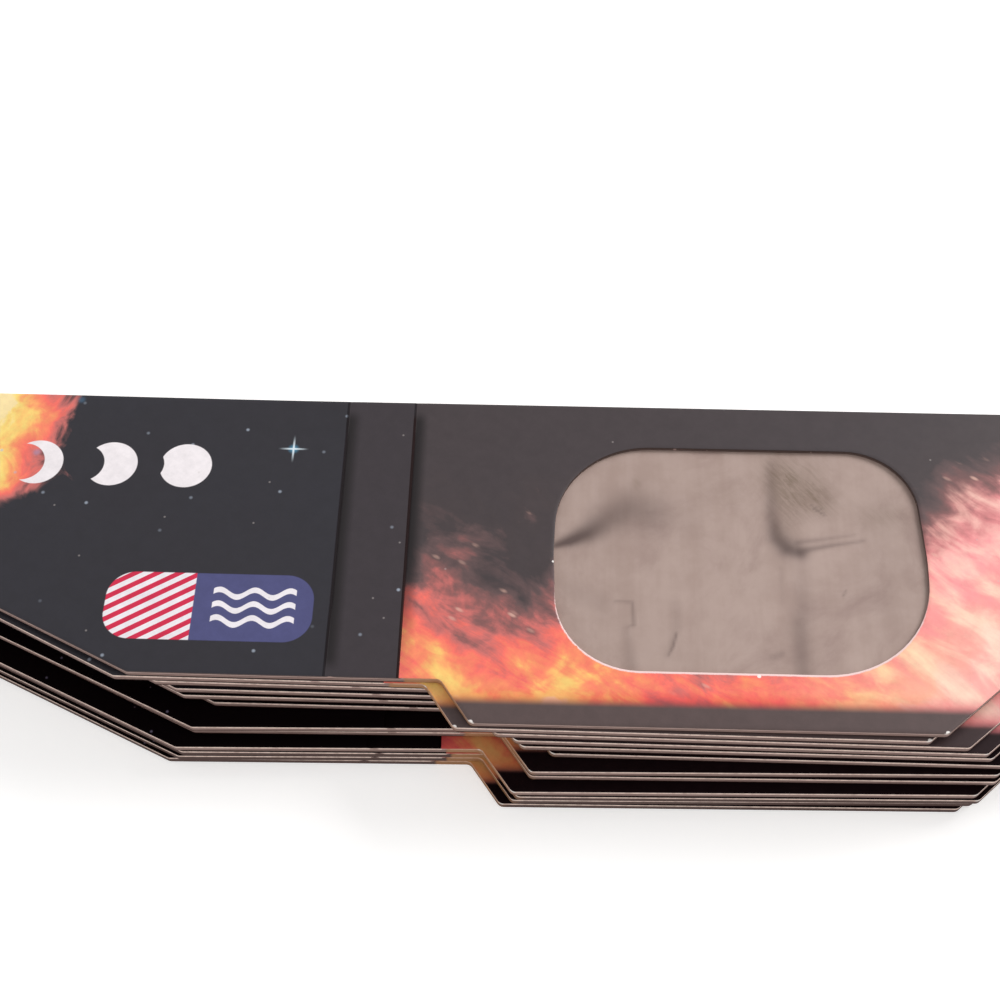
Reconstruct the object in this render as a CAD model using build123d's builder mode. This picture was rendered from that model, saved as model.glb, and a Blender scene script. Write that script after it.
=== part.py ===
from build123d import *
import math
import os

os.makedirs("parts", exist_ok=True)

# A loosely squared pile of flat card glasses, printed faces up.
# X runs along the glasses, +Y towards the brow edge, +Z up through the pile.
# The origin is on the underside of the lowest pair, in the middle of its bridge.

# Card stock and filter film
ply = 0.42                    # one thickness of card; a pair is a printed card on a liner
film_thickness = 0.08
film_overlap = 3.0            # film beyond the window, trapped between the two cards
film_play = 0.02              # left above the film in its pocket
pocket_play = 0.3             # left round the film in its pocket
pile_air = 0.16               # air between one pair and the next

# Front panel
front_height = 38.0
window_width = 38.1
window_side_radius = 24.0     # the short ends of a window bulge a little
window_bulge = 0.5
window_corner_shares = [0.375, 0.277, 0.42, 0.315]  # of its height; outer, inner, inner, outer
window_gap = 28.5             # card between the two windows, over the nose
brow_margin = 5.3             # card above a window
chin_margin = 6.0             # card below a window
crease_margin = 14.5          # card between a window and the inner crease

# Scored creases between the front, the hinge strip and the arm
strip_width = 7.25
score_width = 1.3
score_depth = 0.2

# Nose notch
notch_width = 28.6
notch_shoulder_width = 11.8
notch_shoulder_rise = 7.4
notch_top_width = 8.4
notch_depth = 13.5
notch_shoulder_radius = 4.0
notch_top_radius = 3.2

# Arms
step_rise = 4.6               # the arms' lower edge lies this far above the front's
step_inset = 3.55             # the lower edge steps up this far inside the inner crease
step_run = 3.1
taper_start = 20.0            # beyond the outer crease
taper_angle = 26.0
band_height = 16.0
arm_reach = 103.7             # outer crease to the corner that the crook rounds off
crook_angle = 58.0
crook_length = 30.2
tip_width = 13.0
crook_radius = 32.0
tip_radius = 6.0
ear_radius = 12.0
taper_end_radius = 15.0
corner_radius = 0.8           # the die leaves every small corner slightly round
chord_turn = 26.0             # degrees; the lower pairs repeat, so chords take the place of arcs

# How loosely the pile is squared, from the lowest pair up
slip_across = 5.4
slip_back = 2.76
slip_across_shares = [0.0, 0.2, 0.3, 0.21, 0.56, 0.54, 1.0, 0.45, 0.34, -0.02, -0.76, -0.49]
slip_back_shares = [0.0, 0.12, 0.05, 0.1, 0.44, 0.58, 0.65, 0.75, 0.74, 0.78, 0.84, 1.0]
turns = [0.81, 1.13, 0.99, 1.06, 0.72, 1.08, -0.22, -0.18, -0.33, -0.43, -0.32, 0.0]

overrun = 1.0                 # every cut runs this far past what it cuts

# Places that follow from the sizes
top_edge = front_height / 2
front_bottom = -front_height / 2
arm_bottom = front_bottom + step_rise
band_bottom = top_edge - band_height
window_height = front_height - brow_margin - chin_margin
window_x = window_gap / 2 + window_width / 2
window_y = top_edge - brow_margin - window_height / 2
inner_crease_x = window_gap / 2 + window_width + crease_margin
outer_crease_x = inner_crease_x + strip_width
pitch = 2 * ply + pile_air
pocket_depth = film_thickness + film_play


def card_outline():
    """Whole outline of one flat pair, both arms unfolded."""
    down = Vector(math.cos(math.radians(crook_angle)), -math.sin(math.radians(crook_angle)))
    inward = Vector(down.Y, -down.X)
    crook = Vector(outer_crease_x + arm_reach, top_edge)
    tip_outer = crook + down * crook_length
    tip_inner = tip_outer + inward * tip_width
    ear = tip_inner - down * ((band_bottom - tip_inner.Y) / -down.Y)
    taper_run = (band_bottom - arm_bottom) / math.tan(math.radians(taper_angle))
    step_top_x = inner_crease_x - step_inset
    notch_top = front_bottom + notch_depth
    corners = [
        (crook, crook_radius),
        (tip_outer, tip_radius),
        (tip_inner, tip_radius),
        (ear, ear_radius),
        ((outer_crease_x + taper_start + taper_run, band_bottom), taper_end_radius),
        ((outer_crease_x + taper_start, arm_bottom), corner_radius),
        ((step_top_x, arm_bottom), corner_radius),
        ((step_top_x - step_run, front_bottom), corner_radius),
        ((notch_width / 2, front_bottom), corner_radius),
        ((notch_shoulder_width / 2, front_bottom + notch_shoulder_rise), notch_shoulder_radius),
        ((notch_top_width / 2, notch_top), notch_top_radius),
    ]
    points = [(0, top_edge)] + [point for point, radius in corners] + [(0, notch_top)]
    with BuildSketch() as outline:
        with BuildLine():
            FilletPolyline(*points, radius=[radius for point, radius in corners])
            mirror(about=Plane.YZ)
        make_face()
    return outline.sketch


def window_outline():
    """The left window: two long edges, four unequal corners and gently bulged ends."""
    outer_x = -window_x - window_width / 2
    inner_x = -window_x + window_width / 2
    upper_y = window_y + window_height / 2
    lower_y = window_y - window_height / 2
    points = [
        (outer_x + window_bulge, upper_y),
        (inner_x - window_bulge, upper_y),
        (inner_x, window_y),
        (inner_x - window_bulge, lower_y),
        (outer_x + window_bulge, lower_y),
        (outer_x, window_y),
    ]
    corners = [window_height * share for share in window_corner_shares]
    radii = corners[:2] + [window_side_radius] + corners[2:] + [window_side_radius]
    with BuildSketch() as window:
        with BuildLine():
            FilletPolyline(*points, radius=radii, close=True)
        make_face()
    return window.sketch


def in_chords(shape):
    """The same shape with each arc cut into chords, for the cards that repeat."""
    with BuildSketch() as plain:
        with BuildLine():
            for edge in shape.edges():
                round_edge = edge.geom_type == GeomType.CIRCLE
                turn = math.degrees(edge.length / edge.radius) if round_edge else 0
                chords = max(1, round(turn / chord_turn))
                Polyline(*[edge @ (step / chords) for step in range(chords + 1)])
        make_face()
    return plain.sketch


def both_sides(shape):
    """The same shape, and its mirror image on the right."""
    with BuildSketch() as pair:
        add(shape)
        mirror(about=Plane.YZ)
    return pair.sketch


def score_profile():
    """Section of one scored crease, pressed into the printed face."""
    with BuildSketch(Plane.XZ) as score:
        with BuildLine():
            Polyline((-score_width / 2, 0), (0, -score_depth), (score_width / 2, 0),
                     (score_width / 2, score_depth), (-score_width / 2, score_depth), close=True)
        make_face()
    return score.sketch


outline = card_outline()
window = window_outline()
chord_outline = in_chords(outline)
windows = both_sides(window)
chord_windows = both_sides(in_chords(window))
score = score_profile()
window_places = [(-window_x, window_y), (window_x, window_y)]
crease_places = [-outer_crease_x, -inner_crease_x, inner_crease_x, outer_crease_x]


def pair_plane(level, height):
    """Plane of one pair in the pile, this far above its own underside."""
    turn = math.radians(turns[level])
    place = (slip_across * slip_across_shares[level],
             slip_back * slip_back_shares[level],
             level * pitch + height)
    return Plane(origin=place, x_dir=(math.cos(turn), math.sin(turn), 0), z_dir=(0, 0, 1))


def whole_card():
    """One flat card with its windows cut out."""
    with BuildSketch() as shape:
        add(chord_outline)
        add(chord_windows, mode=Mode.SUBTRACT)
    return shape.sketch


def panel(first_x, last_x):
    """The part of a card that lies between two creases, or beyond one."""
    with BuildSketch() as shape:
        add(outline)
        add(windows, mode=Mode.SUBTRACT)
        with Locations(((first_x + last_x) / 2, 0)):
            Rectangle(last_x - first_x, front_height + overrun, mode=Mode.INTERSECT)
    return shape.sketch


def make_liner(name, level, shape, pockets):
    """Lower card of a pair, with a shallow pocket for each film."""
    with BuildPart() as liner:
        with BuildSketch(pair_plane(level, 0)):
            add(shape)
        extrude(amount=ply)
        if pockets:
            with BuildSketch(pair_plane(level, ply)):
                with Locations(*window_places):
                    Rectangle(window_width + 2 * (film_overlap + pocket_play),
                              window_height + 2 * (film_overlap + pocket_play))
            extrude(amount=-pocket_depth, mode=Mode.SUBTRACT)
    liner.part.label = name
    export_step(liner.part, f"parts/{name}.step")


def make_card(name, level, shape, creases):
    """Printed upper card of a pair, scored where it folds."""
    face = pair_plane(level, 2 * ply)
    with BuildPart() as card:
        with BuildSketch(pair_plane(level, ply)):
            add(shape)
        extrude(amount=ply)
        for crease_x in creases:
            across = Plane(origin=face.from_local_coords((crease_x, front_height, 0)),
                           x_dir=face.x_dir, z_dir=-face.y_dir)
            with BuildSketch(across):
                add(score)
            extrude(amount=2 * front_height, mode=Mode.SUBTRACT)
    card.part.label = name
    export_step(card.part, f"parts/{name}.step")


def make_film(name, level, side):
    """One flat sheet of filter film, lying in its pocket."""
    with BuildPart() as film:
        with BuildSketch(pair_plane(level, ply - pocket_depth)):
            with Locations((side * window_x, window_y)):
                Rectangle(window_width + 2 * film_overlap, window_height + 2 * film_overlap)
        extrude(amount=film_thickness)
    film.part.label = name
    export_step(film.part, f"parts/{name}.step")


# The lower pairs lie unfolded and are held by the pile
top_level = len(turns) - 1
lower_card = whole_card()
for level in range(top_level):
    pair = f"pair_{level + 1:02d}"
    make_liner(f"{pair}_liner", level, lower_card, True)
    make_card(f"{pair}_card", level, lower_card, crease_places)
    make_film(f"{pair}_left_film", level, -1)
    make_film(f"{pair}_right_film", level, 1)

# The top pair folds at its four creases
top_front = panel(-inner_crease_x, inner_crease_x)
make_liner("top_front_liner", top_level, top_front, True)
make_card("top_front_card", top_level, top_front, crease_places[1:3])
make_film("top_left_film", top_level, -1)
make_film("top_right_film", top_level, 1)

arm_end = outer_crease_x + arm_reach + crook_length
for side, near, far in (("left", -inner_crease_x, -outer_crease_x),
                        ("right", inner_crease_x, outer_crease_x)):
    strip = panel(min(near, far), max(near, far))
    make_liner(f"top_{side}_strip_liner", top_level, strip, False)
    make_card(f"top_{side}_strip_card", top_level, strip, [near, far])
    end = math.copysign(arm_end, far)
    arm = panel(min(far, end), max(far, end))
    make_liner(f"top_{side}_arm_liner", top_level, arm, False)
    make_card(f"top_{side}_arm_card", top_level, arm, [far])

print(f"pile of {len(turns)} pairs, {len(turns) * pitch - pile_air:.2f} mm thick, "
      f"creases at {inner_crease_x:.2f} and {outer_crease_x:.2f} mm")
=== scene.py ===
import bpy
import math
from mathutils import Matrix, Vector, noise


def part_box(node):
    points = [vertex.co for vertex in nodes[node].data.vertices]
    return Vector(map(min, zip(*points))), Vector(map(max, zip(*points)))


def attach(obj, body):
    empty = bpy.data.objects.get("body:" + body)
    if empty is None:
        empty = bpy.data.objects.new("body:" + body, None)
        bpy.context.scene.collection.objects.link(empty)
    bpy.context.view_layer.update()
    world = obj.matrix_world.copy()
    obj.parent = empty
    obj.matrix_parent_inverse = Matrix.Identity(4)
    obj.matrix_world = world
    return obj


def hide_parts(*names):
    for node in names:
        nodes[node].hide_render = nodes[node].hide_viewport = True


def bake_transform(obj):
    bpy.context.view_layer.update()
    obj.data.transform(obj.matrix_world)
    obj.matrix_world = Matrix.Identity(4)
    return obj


# A loosely squared pile of card eclipse glasses. The top pair folds, the others only lift off.
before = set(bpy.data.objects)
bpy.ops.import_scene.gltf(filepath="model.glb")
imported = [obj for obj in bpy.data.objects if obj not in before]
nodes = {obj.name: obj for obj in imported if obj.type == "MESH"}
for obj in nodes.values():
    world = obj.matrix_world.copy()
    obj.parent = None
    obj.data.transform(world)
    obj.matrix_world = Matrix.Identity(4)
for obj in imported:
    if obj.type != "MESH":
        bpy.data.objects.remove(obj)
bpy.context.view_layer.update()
mm = 0.001
print("frame loaded:", len(nodes), "nodes")


# small helpers for working in edit mode without a window

def clamped(value):
    return max(0.0, min(1.0, value))


def deselectAll():
    bpy.ops.object.select_all(action="DESELECT")


def makeActive(piece):
    deselectAll()
    piece.select_set(True)
    bpy.context.view_layer.objects.active = piece


def enterEdit():
    bpy.ops.object.mode_set(mode="EDIT")


def leaveEdit():
    bpy.ops.object.mode_set(mode="OBJECT")


def clearSelection(piece, kind):
    makeActive(piece)
    enterEdit()
    bpy.ops.mesh.select_mode(type=kind)
    bpy.ops.mesh.select_all(action="DESELECT")
    leaveEdit()


def selectFaces(piece, wanted):
    clearSelection(piece, "FACE")
    for face in piece.data.polygons:
        face.select = wanted(face)
    enterEdit()


def selectEdges(piece, wanted):
    clearSelection(piece, "EDGE")
    normals = {}
    for face in piece.data.polygons:
        for key in face.edge_keys:
            normals.setdefault(key, []).append(face.normal)
    for edge in piece.data.edges:
        edge.select = wanted(normals.get(edge.key, []))
    enterEdit()


def mergeDoubles():
    bpy.ops.mesh.select_all(action="SELECT")
    bpy.ops.mesh.remove_doubles(threshold=2e-6)


def sliceAt(place, normal, **options):
    bpy.ops.mesh.select_all(action="SELECT")
    bpy.ops.mesh.bisect(plane_co=place, plane_no=normal, threshold=1e-7, **options)


def duplicateOf(piece, name):
    makeActive(piece)
    bpy.ops.object.duplicate(linked=False)
    copy = bpy.context.active_object
    copy.name = name
    copy.data.name = name
    return copy


def smoothUpTo(piece, degrees):
    makeActive(piece)
    bpy.ops.object.shade_smooth_by_angle(angle=math.radians(degrees))


# where each pair lies, read from its two films: they are rectangles, so their boxes share their centres

def middleOf(node):
    low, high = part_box(node)
    return (low + high) / 2


def pairPlace(pair):
    left, right = (middleOf(f"{pair}_{side}_film") for side in ("left", "right"))
    across = (right - left).normalized()
    up = Vector((0, 0, 1))
    back = up.cross(across)
    middle = (left + right) / 2 - back * filmOffset
    floorNode = "top_front_liner" if pair == "top" else pair + "_liner"
    middle.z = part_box(floorNode)[0].z
    turn = Matrix((across, back, up)).transposed().to_4x4()
    return Matrix.Translation(middle) @ turn


filmOffset = middleOf("top_left_film").y - middleOf("top_front_card").y
topPlace = pairPlace("top")
topOrigin = topPlace.translation
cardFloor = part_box("top_front_card")[0].z
creases = sorted(end.x for side in ("left", "right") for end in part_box(f"top_{side}_strip_card"))
windowHalf = Vector((19.05, 13.35)) * mm
windowMiddles = [middleOf(f"top_{side}_film").xy for side in ("left", "right")]
print("top pair at", [round(v * 1000, 2) for v in topOrigin])


# shader nodes

def calc(tree, operation, first, second=None, third=None, clamp=False):
    node = tree.nodes.new("ShaderNodeMath")
    node.operation = operation
    node.use_clamp = clamp
    for socket, value in zip(node.inputs, (first, second, third)):
        if isinstance(value, bpy.types.NodeSocket):
            tree.links.new(value, socket)
        elif value is not None:
            socket.default_value = value
    return node.outputs[0]


def inTurn(tree, operation, first, *others):
    for value in others:
        first = calc(tree, operation, first, value)
    return first


def times(tree, *values):
    return inTurn(tree, "MULTIPLY", *values)


def plus(tree, *values):
    return inTurn(tree, "ADD", *values)


def largest(tree, *values):
    return inTurn(tree, "MAXIMUM", *values)


def minus(tree, first, second):
    return calc(tree, "SUBTRACT", first, second)


def unsigned(tree, value):
    return calc(tree, "ABSOLUTE", value)


def apart(tree, across, along):
    return calc(tree, "SQRT", plus(tree, times(tree, across, across), times(tree, along, along)))


def ramp(tree, value, start, end, low=0.0, high=1.0):
    node = tree.nodes.new("ShaderNodeMapRange")
    node.interpolation_type = "SMOOTHSTEP"
    tree.links.new(value, node.inputs["Value"])
    for name, number in (("From Min", start), ("From Max", end), ("To Min", low), ("To Max", high)):
        node.inputs[name].default_value = number
    return node.outputs["Result"]


def between(tree, value, edges):
    return times(tree, *[ramp(tree, value, *edge) for edge in edges])


def mix(tree, factor, under, over, kind="MIX"):
    node = tree.nodes.new("ShaderNodeMix")
    node.data_type = "RGBA"
    node.blend_type = kind
    for socket, value in ((node.inputs[0], factor), (node.inputs[6], under), (node.inputs[7], over)):
        if isinstance(value, bpy.types.NodeSocket):
            tree.links.new(value, socket)
        elif isinstance(value, (int, float)):
            socket.default_value = value
        else:
            socket.default_value = (*value, 1)
    return node.outputs[2]


def noiseAt(tree, vector, scale, detail, roughness, distortion=0.0):
    node = tree.nodes.new("ShaderNodeTexNoise")
    tree.links.new(vector, node.inputs["Vector"])
    node.inputs["Scale"].default_value = scale
    node.inputs["Detail"].default_value = detail
    node.inputs["Roughness"].default_value = roughness
    node.inputs["Distortion"].default_value = distortion
    return node.outputs[0]


def mapped(tree, vector, place=(0, 0, 0), turn=0.0, scale=(1, 1, 1)):
    node = tree.nodes.new("ShaderNodeMapping")
    tree.links.new(vector, node.inputs["Vector"])
    node.inputs["Location"].default_value = place
    node.inputs["Rotation"].default_value = (0, 0, turn)
    node.inputs["Scale"].default_value = scale
    return node.outputs[0]


def streaked(tree, vector, turn, along, across):
    turned = mapped(tree, vector, turn=math.radians(turn))
    return mapped(tree, turned, place=(3.7, 8.2, 0), scale=(1 / along, 1 / across, 1 / along))


def sheetAxes(tree, spot):
    # x, y, and how far to either side of the middle
    node = tree.nodes.new("ShaderNodeSeparateXYZ")
    tree.links.new(spot, node.inputs[0])
    x, y = node.outputs[:2]
    return x, y, unsigned(tree, x)


def channelsOf(tree, colour):
    node = tree.nodes.new("ShaderNodeSeparateColor")
    tree.links.new(colour, node.inputs[0])
    return node.outputs[:3]


def scattered(tree, vector, scale):
    # how far the nearest of many strewn points is, and three chance values of that point
    node = tree.nodes.new("ShaderNodeTexVoronoi")
    node.voronoi_dimensions = "2D"
    node.inputs["Scale"].default_value = scale
    tree.links.new(vector, node.inputs["Vector"])
    return node.outputs["Distance"], channelsOf(tree, node.outputs["Color"])


def colourRamp(tree, value, stops):
    node = tree.nodes.new("ShaderNodeValToRGB")
    tree.links.new(value, node.inputs[0])
    marks = node.color_ramp.elements
    while len(marks) < len(stops):
        marks.new(0.5)
    for mark, (place, colour) in zip(marks, stops):
        mark.position = place
        mark.color = (*colour, 1)
    return node.outputs[0]


def attributeValue(tree, name):
    node = tree.nodes.new("ShaderNodeAttribute")
    node.attribute_name = name
    return node.outputs["Fac"]


def objectPlace(tree):
    return tree.nodes.new("ShaderNodeTexCoord").outputs["Object"]


sheetSpan = 440.0  # millimetres that the UV map "sheet" covers each way


def sheetMillimetres(tree):
    uv = tree.nodes.new("ShaderNodeUVMap")
    uv.uv_map = "sheet"
    return mapped(tree, uv.outputs[0], place=(-sheetSpan / 2, -sheetSpan / 2, 0),
                  scale=(sheetSpan, sheetSpan, 1))


def newMaterial(name, **values):
    made = bpy.data.materials.new(name)
    made.use_nodes = True
    shader = made.node_tree.nodes["Principled BSDF"]
    for key, value in values.items():
        shader.inputs[key].default_value = value
    return made, made.node_tree, shader


def addBump(tree, shader, height, strength, distance):
    node = tree.nodes.new("ShaderNodeBump")
    node.inputs["Strength"].default_value = strength
    node.inputs["Distance"].default_value = distance
    tree.links.new(height, node.inputs["Height"])
    tree.links.new(node.outputs[0], shader.inputs["Normal"])


# the warm clouds of the front panel. Places are in millimetres from the middle of the sheet. A ramp is
# written as its start and end, and then its low and high value where these aren't 0 and 1

cloudLook = {
    "turn": math.radians(31),
    "billow": (0.062, 4, 0.55, 0.5),
    "curl": (0.21, 5, 0.55, 0.8),
    "wispStreak": (36, 8.0, 3.2),
    "wisp": (1.0, 6, 0.55, 0.6),
    "swings": (0.62, 0.46, 0.72),
    "calmSides": (36, 12, 1.0, 0.55),
    "rise": (-0.0265, 0.29),
    "noseReach": 18.5,
    "noseHeat": 0.54,
    "browRows": (9.0, 16.5, 0.0, -0.50),
    "browSides": (10, 26, 0.30, 1.0),
    "outerSides": (40, 62, 0.0, 0.13),
    "outerRows": (-4, -14),
    "stops": [
        (0.00, (0.050, 0.038, 0.041)),
        (0.25, (0.054, 0.040, 0.042)),
        (0.38, (0.120, 0.072, 0.072)),
        (0.48, (0.260, 0.105, 0.100)),
        (0.56, (0.600, 0.160, 0.145)),
        (0.65, (0.940, 0.175, 0.135)),
        (0.75, (0.960, 0.290, 0.140)),
        (0.84, (0.975, 0.560, 0.170)),
        (0.93, (0.985, 0.720, 0.210)),
        (1.00, (0.985, 0.780, 0.400)),
    ],
    "rose": (0.95, 0.34, 0.36),
    "roseLight": (0.98, 0.66, 0.56),
    "roseWisps": (0.40, 0.66),
    "roseSides": (34, 9),
    "roseHeat": (0.42, 0.62),
    "roseStrength": 0.85,
    "fleckStreak": (30, 1.9, 0.8),
    "fleckScale": 0.75,
    "fleckSize": (0.26, 0.06),
    "fleckChance": 0.86,
    "fleckHeat": ((0.26, 0.40), (0.72, 0.50)),
    "fleckStrength": 0.58,
    "fleckColour": (0.85, 0.52, 0.42),
    "chinBurn": (-14.8, -16.5),
    "chinTint": (0.86, 0.50, 0.58),
    "chinEdge": (-15.9, -17.1),
    "chinColour": (0.090, 0.060, 0.058),
}


def cloudLayers(tree, spot, turned):
    look = cloudLook
    wisp = noiseAt(tree, streaked(tree, spot, *look["wispStreak"]), *look["wisp"])
    return noiseAt(tree, turned, *look["billow"]), noiseAt(tree, turned, *look["curl"]), wisp


def warmClouds(tree, spot, layers):
    look = cloudLook
    x, y, side = sheetAxes(tree, spot)

    # hottest along the chin and over the nose, and broken up by the layers of noise
    rise = calc(tree, "MULTIPLY_ADD", y, *look["rise"])
    square = calc(tree, "POWER", calc(tree, "DIVIDE", x, look["noseReach"]), 2.0)
    nose = times(tree, calc(tree, "EXPONENT", times(tree, square, -1.0)), look["noseHeat"])
    brow = times(tree, ramp(tree, y, *look["browRows"]), ramp(tree, side, *look["browSides"]))
    outer = times(tree, ramp(tree, side, *look["outerSides"]), ramp(tree, y, *look["outerRows"]))
    heat = plus(tree, rise, nose, brow, outer)
    calm = ramp(tree, side, *look["calmSides"])
    for layer, strength in zip(layers, look["swings"]):
        heat = plus(tree, heat, times(tree, minus(tree, layer, 0.5), strength, calm))
    warm = colourRamp(tree, heat, look["stops"])

    rosy = mix(tree, ramp(tree, layers[2], *look["roseWisps"]), look["rose"], look["roseLight"])
    nearNose = times(tree, ramp(tree, side, *look["roseSides"]), ramp(tree, heat, *look["roseHeat"]),
                     look["roseStrength"])
    warm = mix(tree, nearNose, warm, rosy)

    away, luck = scattered(tree, streaked(tree, spot, *look["fleckStreak"]), look["fleckScale"])
    shown = calc(tree, "GREATER_THAN", luck[0], look["fleckChance"])
    fleck = times(tree, ramp(tree, away, *look["fleckSize"]), shown, between(tree, heat, look["fleckHeat"]),
                  luck[1], look["fleckStrength"])
    warm = mix(tree, fleck, warm, look["fleckColour"])

    # a plain grey strip runs along the chin
    warm = mix(tree, ramp(tree, y, *look["chinBurn"]), warm, look["chinTint"], "MULTIPLY")
    return mix(tree, ramp(tree, y, *look["chinEdge"]), warm, look["chinColour"])


# the night sky of the hinge strips and arms

skyLook = {
    "night": (0.020, 0.0165, 0.021),
    "nightBlue": (0.021, 0.021, 0.029),
    "nightStrip": (0.036, 0.028, 0.033),
    "drift": (0.035, 5, 0.55),
    "stripEdge": (74.9, 74.6),
    "flameMiddle": 117.5,
    "flameReach": 17.0,
    "flameStrength": 1.25,
    "flameRows": (-1, 9),
    "flameRise": (-3, 17, 0.0, 0.18),
    "flameEdge": (0.42, 0.56),
    "curlSwing": 0.9,
    "billowSwing": 0.5,
    # scale of the strewing, chance of none, reach and colour of each kind of star
    "stars": [(0.24, 0.66, 0.27, (0.46, 0.52, 0.62)), (0.085, 0.50, 0.62, (0.13, 0.30, 0.50))],
    "starBright": (0.62, 0.10),
    # x, y and reach of each sparkle
    "sparkles": [(-80.2, 12.6, 1.7), (-121.0, -1.5, 1.3), (-147.0, 12.0, 1.5), (84.0, 4.6, 1.5),
                 (131.0, 11.0, 1.3)],
    "rayWidth": (0.16, 0.03),
    "haloSize": (0.75, 0.0, 0.0, 0.8),
    "haloColour": (0.10, 0.36, 0.55),
    "coreSize": (0.28, 0.08),
    "coreColour": (0.75, 0.85, 0.92),
}


def nightSky(tree, spot, turned, layers):
    look = skyLook
    x, y, side = sheetAxes(tree, spot)
    night = mix(tree, noiseAt(tree, spot, *look["drift"]), look["night"], look["nightBlue"])
    night = mix(tree, ramp(tree, side, *look["stripEdge"]), night, look["nightStrip"])

    # a flame on each arm, torn up by the same noise as the clouds
    away = calc(tree, "DIVIDE", unsigned(tree, minus(tree, side, look["flameMiddle"])), look["flameReach"])
    glow = times(tree, calc(tree, "SUBTRACT", 1.0, away, clamp=True), ramp(tree, y, *look["flameRows"]))
    billow, curl = layers[:2]
    flame = plus(tree, times(tree, glow, look["flameStrength"]), ramp(tree, y, *look["flameRise"]),
                 times(tree, minus(tree, curl, 0.5), look["curlSwing"]),
                 times(tree, minus(tree, billow, 0.5), look["billowSwing"]))
    flameColour = colourRamp(tree, flame, [(0.0, look["night"])] + cloudLook["stops"][2:])
    night = mix(tree, ramp(tree, flame, *look["flameEdge"]), night, flameColour)

    for scale, chance, reach, tint in look["stars"]:
        away, luck = scattered(tree, turned, scale)
        point = ramp(tree, calc(tree, "DIVIDE", away, scale), reach, 0.05)
        bright = times(tree, calc(tree, "GREATER_THAN", luck[0], chance),
                       calc(tree, "MULTIPLY_ADD", luck[1], *look["starBright"]))
        night = mix(tree, times(tree, point, bright), night, tint)

    for sparkleX, sparkleY, reach in look["sparkles"]:
        dx = unsigned(tree, minus(tree, x, sparkleX))
        dy = unsigned(tree, minus(tree, y, sparkleY))
        across = times(tree, ramp(tree, dx, reach, 0.0), ramp(tree, dy, *look["rayWidth"]))
        upright = times(tree, ramp(tree, dy, reach * 1.1, 0.0), ramp(tree, dx, *look["rayWidth"]))
        away = apart(tree, dx, dy)
        night = mix(tree, ramp(tree, away, *look["haloSize"]), night, look["haloColour"])
        core = largest(tree, across, upright, ramp(tree, away, *look["coreSize"]))
        night = mix(tree, core, night, look["coreColour"])
    return night


# a row of discs passing through the phases of an eclipse, on both arms

discLook = {
    "start": 91.4,
    "step": 7.9,
    "radius": 2.75,
    "row": 10.1,
    "last": 6,
    "fullAt": 3.0,
    "shift": 0.56,
    "bite": 0.84,
    "soft": 0.05,
    "colour": (0.90, 0.84, 0.86),
}


def eclipseRow(tree, under, side, y):
    look = discLook
    radius, soft = look["radius"], look["soft"]
    along = calc(tree, "DIVIDE", minus(tree, side, look["start"]), look["step"])
    number = calc(tree, "FLOOR", plus(tree, along, 0.5))
    inRow = times(tree, calc(tree, "GREATER_THAN", number, -0.5),
                  calc(tree, "LESS_THAN", number, look["last"] + 0.5))
    discX = times(tree, minus(tree, along, number), look["step"])
    discY = minus(tree, y, look["row"])
    shift = times(tree, minus(tree, number, look["fullAt"]), radius * look["shift"])
    bite = radius * look["bite"]
    disc = ramp(tree, apart(tree, discX, discY), radius + soft, radius - soft)
    unbitten = ramp(tree, apart(tree, plus(tree, discX, shift), discY), bite - soft, bite + soft)
    return mix(tree, times(tree, disc, unbitten, inRow), under, look["colour"])


# a plain rounded badge with slanting stripes and waves, on both arms

badgeLook = {
    "middle": (86.9, -6.9),
    "half": (10.5, 3.85),
    "corner": 2.9,
    "soft": 0.06,
    "red": (0.64, 0.022, 0.072),
    "navy": (0.074, 0.076, 0.195),
    "white": (0.88, 0.83, 0.87),
    "stripeSlope": 0.62,
    "stripeStep": 0.66,
    "stripeEdge": (0.36, 0.30),
    "waveTurn": 1.75,
    "waveHeight": 0.42,
    "waveStep": 0.8,
    "waveEdge": (0.36, 0.28),
    "waveMiddle": -4.5,
    "waveEnds": (4.25, 4.15),
    "waveRows": (2.45, 2.35),
    "split": (1.55, 1.65),
}


def roundedBadge(tree, under, side, y):
    look = badgeLook
    across, along = (minus(tree, place, middle) for place, middle in zip((side, y), look["middle"]))
    corner = look["corner"]
    beyond = [largest(tree, minus(tree, unsigned(tree, place), half - corner), 0.0)
              for place, half in zip((across, along), look["half"])]
    badge = ramp(tree, apart(tree, *beyond), corner + look["soft"], corner - look["soft"])
    slant = calc(tree, "MULTIPLY_ADD", across, look["stripeSlope"], along)
    stripes = ramp(tree, calc(tree, "PINGPONG", slant, look["stripeStep"]), *look["stripeEdge"])
    striped = mix(tree, stripes, look["red"], look["white"])
    swell = times(tree, calc(tree, "SINE", times(tree, across, look["waveTurn"])), look["waveHeight"])
    swell = plus(tree, along, swell)
    waves = ramp(tree, calc(tree, "PINGPONG", swell, look["waveStep"]), *look["waveEdge"])
    fromMiddle = unsigned(tree, minus(tree, across, look["waveMiddle"]))
    waves = times(tree, waves, ramp(tree, fromMiddle, *look["waveEnds"]),
                  ramp(tree, unsigned(tree, swell), *look["waveRows"]))
    waved = mix(tree, waves, look["navy"], look["white"])
    colour = mix(tree, ramp(tree, across, *look["split"]), waved, striped)
    return mix(tree, badge, under, colour)


# the printed face as a whole

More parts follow.
